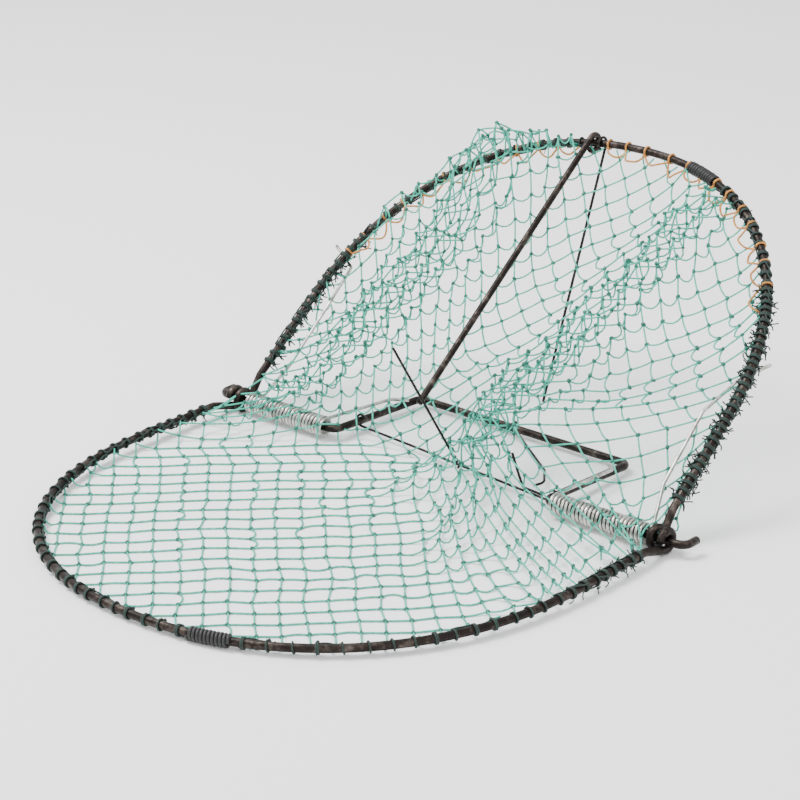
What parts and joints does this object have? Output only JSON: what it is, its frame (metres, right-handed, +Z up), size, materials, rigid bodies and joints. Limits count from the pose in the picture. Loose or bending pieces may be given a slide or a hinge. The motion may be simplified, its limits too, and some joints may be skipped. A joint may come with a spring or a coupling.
{
  "type": "folding hoop net trap",
  "caption": "Spring-loaded clap-net trap: two U-shaped steel hoops hinged on a cranked axle, with a knotted net, a latch rod and trigger wires.",
  "frame": {"origin": "middle of the bottom of the whole trap's box as it stands open, on the floor it rests on", "axes": "+X along the hinge axle, towards the end that has the twine windings; +Y from the flat front hoop to the raised back hoop; +Z up"},
  "size_m": [0.444, 0.55, 0.2005],
  "materials": {
    "hoop_steel": "dark brown oxidised bar, semi-gloss with worn highlights",
    "dark_wire": "black annealed wire",
    "spring_steel": "bright drawn wire",
    "black_twine": "tight black cord winding",
    "green_twine": "dark green twisted twine",
    "orange_twine": "orange twisted twine",
    "net_twine": "mint green knotted twine"
  },
  "bodies": {
    "ground_frame": {"front_hoop": "hoop_steel", "crank_axle": "hoop_steel", "cross_wire": "dark_wire", "catch_hook": "dark_wire", "front_wrap": "black_twine", "front_lashing_left": "green_twine", "front_lashing_right": "green_twine", "net_front": "net_twine", "net_middle": "net_twine"},
    "raised_hoop": {"back_hoop": "hoop_steel", "back_wrap": "black_twine", "back_lashing_left": "green_twine", "back_lashing_right": "green_twine", "header_cord_left": "orange_twine", "header_cord_right": "orange_twine", "net_back": "net_twine", "left_spring": "spring_steel", "right_spring": "spring_steel"},
    "latch": {"latch_rod": "hoop_steel"},
    "prop": {"prop_rod": "dark_wire"},
    "bait": {"bait_stick": "dark_wire"},
    "trigger": {"trigger_wire": "dark_wire"}
  },
  "joints": [
    {"name": "hoop_hinge", "type": "hinge", "parent": "ground_frame", "child": "raised_hoop", "pos_m": [0, 0.03493, 0.0098], "axis": [1, 0, 0], "range_deg": [-39, 138], "stiffness_Nm_per_rad": 0.71, "springref_deg": 28.65, "deforming": ["net_front", "net_middle", "net_back", "left_spring", "right_spring"]},
    {"name": "latch_swing", "type": "hinge", "parent": "raised_hoop", "child": "latch", "pos_m": [-0.03987, 0.26644, 0.19198], "axis": [-0.9873, -0.1251, -0.0984], "range_deg": [0, 150]},
    {"name": "prop_swing", "type": "hinge", "parent": "raised_hoop", "child": "prop", "pos_m": [-0.03229, 0.26729, 0.19265], "axis": [0.9923, 0.0972, 0.0765], "range_deg": [-22, 60]},
    {"name": "bait_tilt", "type": "hinge", "parent": "ground_frame", "child": "bait", "pos_m": [0.004, 0.05403, 0.00455], "axis": [1, 0, 0], "range_deg": [0, 15]},
    {"name": "trigger_swing", "type": "hinge", "parent": "ground_frame", "child": "trigger", "pos_m": [-0.007, 0.13193, 0.006], "axis": [-1, 0, 0], "range_deg": [0, 20]}
  ]
}
